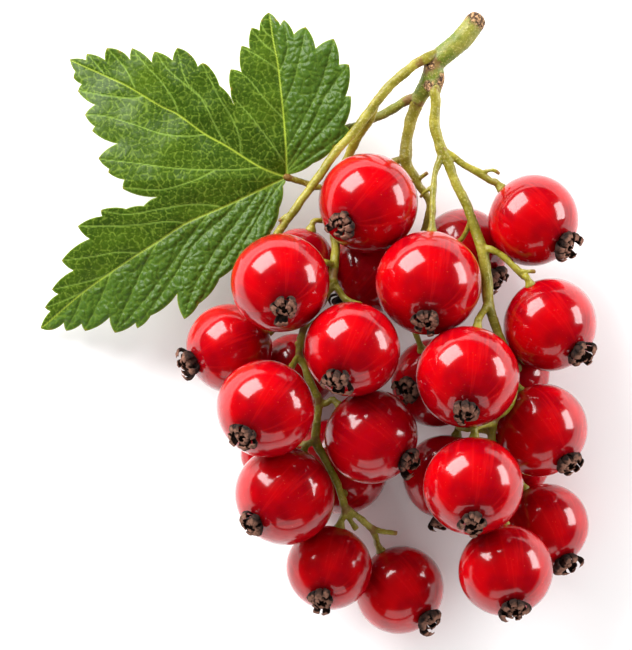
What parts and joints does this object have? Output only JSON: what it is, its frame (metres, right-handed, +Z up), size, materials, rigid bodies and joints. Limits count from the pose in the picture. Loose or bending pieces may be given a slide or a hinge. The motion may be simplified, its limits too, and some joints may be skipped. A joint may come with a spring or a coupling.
{
  "type": "redcurrant sprig",
  "caption": "Cut redcurrant sprig lying on a surface: glossy red berries with dried calyxes on branching green strigs, one lobed leaf and a short woody shoot.",
  "frame": {"origin": "middle of the base of the bounding box, on the surface that the sprig lies on", "axes": "+Z up from the surface, +Y from the lowest berries towards the cut end of the shoot, +X from the leaf towards the berries on the far side"},
  "size_m": [0.0612, 0.0688, 0.0251],
  "materials": {
    "berry_skin": "glossy, slightly translucent skin",
    "dried_calyx": "dry, crumpled, matt",
    "shoot_bark": "smooth young bark with corky scars",
    "strig_stem": "soft, finely speckled",
    "leaf_green": "semi-matt, veined"
  },
  "bodies": {
    "root": {"berry_01": "berry_skin", "calyx_01": "dried_calyx", "berry_02": "berry_skin", "calyx_02": "dried_calyx", "berry_03": "berry_skin", "calyx_03": "dried_calyx", "berry_05": "berry_skin", "calyx_05": "dried_calyx", "berry_06": "berry_skin", "calyx_06": "dried_calyx", "berry_07": "berry_skin", "calyx_07": "dried_calyx", "berry_08": "berry_skin", "calyx_08": "dried_calyx", "berry_09": "berry_skin", "calyx_09": "dried_calyx", "berry_10": "berry_skin", "calyx_10": "dried_calyx", "berry_11": "berry_skin", "calyx_11": "dried_calyx", "berry_12": "berry_skin", "calyx_12": "dried_calyx", "berry_13": "berry_skin", "calyx_13": "dried_calyx", "berry_14": "berry_skin", "calyx_14": "dried_calyx", "berry_15": "berry_skin", "calyx_15": "dried_calyx", "berry_16": "berry_skin", "calyx_16": "dried_calyx", "berry_17": "berry_skin", "calyx_17": "dried_calyx", "berry_18": "berry_skin", "calyx_18": "dried_calyx", "berry_19": "berry_skin", "calyx_19": "dried_calyx", "berry_20": "berry_skin", "calyx_20": "dried_calyx", "berry_21": "berry_skin", "calyx_21": "dried_calyx", "berry_22": "berry_skin", "calyx_22": "dried_calyx", "berry_23": "berry_skin", "calyx_23": "dried_calyx", "berry_24": "berry_skin", "calyx_24": "dried_calyx", "berry_25": "berry_skin", "calyx_25": "dried_calyx", "berry_26": "berry_skin", "calyx_26": "dried_calyx", "berry_27": "berry_skin", "calyx_27": "dried_calyx", "berry_28": "berry_skin", "calyx_28": "dried_calyx", "shoot": "shoot_bark", "strig_left": "strig_stem", "strig_middle": "strig_stem", "strig_right": "strig_stem", "leaf_blade": "leaf_green", "petiole": "strig_stem"}
  },
  "joints": []
}
